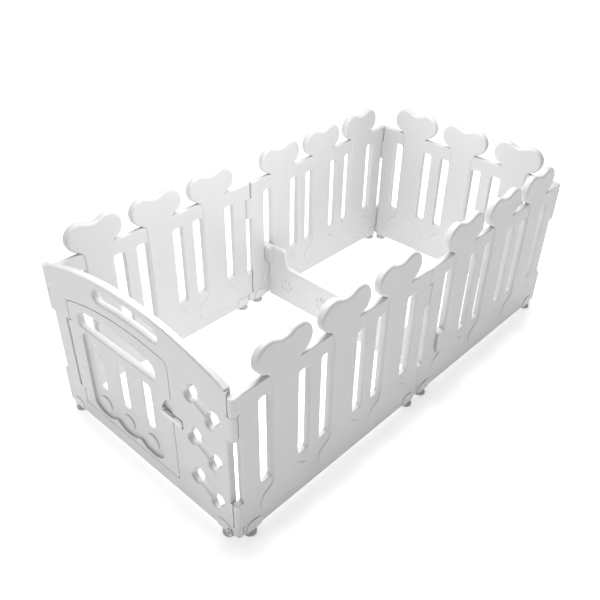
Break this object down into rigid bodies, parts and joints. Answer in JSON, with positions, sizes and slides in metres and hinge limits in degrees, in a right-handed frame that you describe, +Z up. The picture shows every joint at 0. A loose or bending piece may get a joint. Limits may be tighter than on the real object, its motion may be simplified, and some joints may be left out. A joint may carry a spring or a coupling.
{
  "type": "pet playpen",
  "caption": "Free-standing rectangular pet playpen of hinged plastic picket panels, with an arched gate panel, a latched door and a low lift-out divider.",
  "frame": {"origin": "centre of the footprint, on the floor", "axes": "+X to the right seen from the gate side, +Y from the gate to the back panel, +Z up"},
  "size_m": [0.808, 1.578, 0.6],
  "materials": {
    "panel_plastic": "satin white moulded polyethylene",
    "cap_plastic": "smooth white moulded plastic",
    "latch_plastic": "satin white moulded plastic",
    "foot_rubber": "grey soft rubber",
    "pin_steel": "plain steel rod"
  },
  "bodies": {
    "rear_walls": {"back_panel": "panel_plastic", "hinge_pins_back_right": "pin_steel", "back_left_end_cap": "cap_plastic", "back_right_end_cap": "cap_plastic", "back_left_foot": "foot_rubber", "back_right_foot": "foot_rubber", "left_rear_panel": "panel_plastic", "hinge_pins_back_left": "pin_steel", "left_rear_left_end_cap": "cap_plastic", "left_rear_right_end_cap": "cap_plastic", "left_rear_left_foot": "foot_rubber", "left_rear_right_foot": "foot_rubber", "right_rear_panel": "panel_plastic", "hinge_pins_mid_right": "pin_steel", "right_rear_left_end_cap": "cap_plastic", "right_rear_right_end_cap": "cap_plastic", "right_rear_left_foot": "foot_rubber", "right_rear_right_foot": "foot_rubber"},
    "left_front_wall": {"left_front_panel": "panel_plastic", "hinge_pins_mid_left": "pin_steel", "left_front_left_end_cap": "cap_plastic", "left_front_right_end_cap": "cap_plastic", "left_front_left_foot": "foot_rubber", "left_front_right_foot": "foot_rubber"},
    "gate": {"gate_panel": "panel_plastic", "hinge_pins_front_left": "pin_steel", "gate_left_end_cap": "cap_plastic", "gate_right_end_cap": "cap_plastic", "gate_left_foot": "foot_rubber", "gate_right_foot": "foot_rubber", "door_hinge_pins": "pin_steel", "gate_pull_ring": "cap_plastic"},
    "right_front_wall": {"right_front_panel": "panel_plastic", "hinge_pins_front_right": "pin_steel", "right_front_left_end_cap": "cap_plastic", "right_front_right_end_cap": "cap_plastic", "right_front_left_foot": "foot_rubber", "right_front_right_foot": "foot_rubber"},
    "door_leaf": {"door": "panel_plastic", "latch_pin": "pin_steel"},
    "latch": {"latch_lever": "latch_plastic"},
    "divider": {"divider_panel": "panel_plastic"}
  },
  "joints": [
    {"name": "mid_left_hinge", "type": "hinge", "parent": "rear_walls", "child": "left_front_wall", "pos_m": [-0.385, 0, 0.3], "axis": [0, 0, 1], "range_deg": [-15, 15]},
    {"name": "front_left_hinge", "type": "hinge", "parent": "left_front_wall", "child": "gate", "pos_m": [-0.385, -0.77, 0.3], "axis": [0, 0, 1], "range_deg": [-15, 15]},
    {"name": "mid_right_hinge", "type": "hinge", "parent": "rear_walls", "child": "right_front_wall", "pos_m": [0.385, 0, 0.3], "axis": [0, 0, 1], "range_deg": [-15, 15]},
    {"name": "door_hinge", "type": "hinge", "parent": "gate", "child": "door_leaf", "pos_m": [-0.294, -0.77, 0.25], "axis": [0, 0, -1], "range_deg": [0, 95]},
    {"name": "latch_flip", "type": "hinge", "parent": "door_leaf", "child": "latch", "pos_m": [0.126, -0.7785, 0.298], "axis": [0, 0, -1], "range_deg": [0, 100]},
    {"name": "divider_lift", "type": "slide", "parent": "rear_walls", "child": "divider", "axis": [0, 0, 1], "range_m": [0, 0.2]}
  ],
  "couplings": [
    {"joint": "front_left_hinge", "follows": "mid_left_hinge", "ratio": -1},
    {"joint": "mid_right_hinge", "follows": "mid_left_hinge", "ratio": 1}
  ]
}
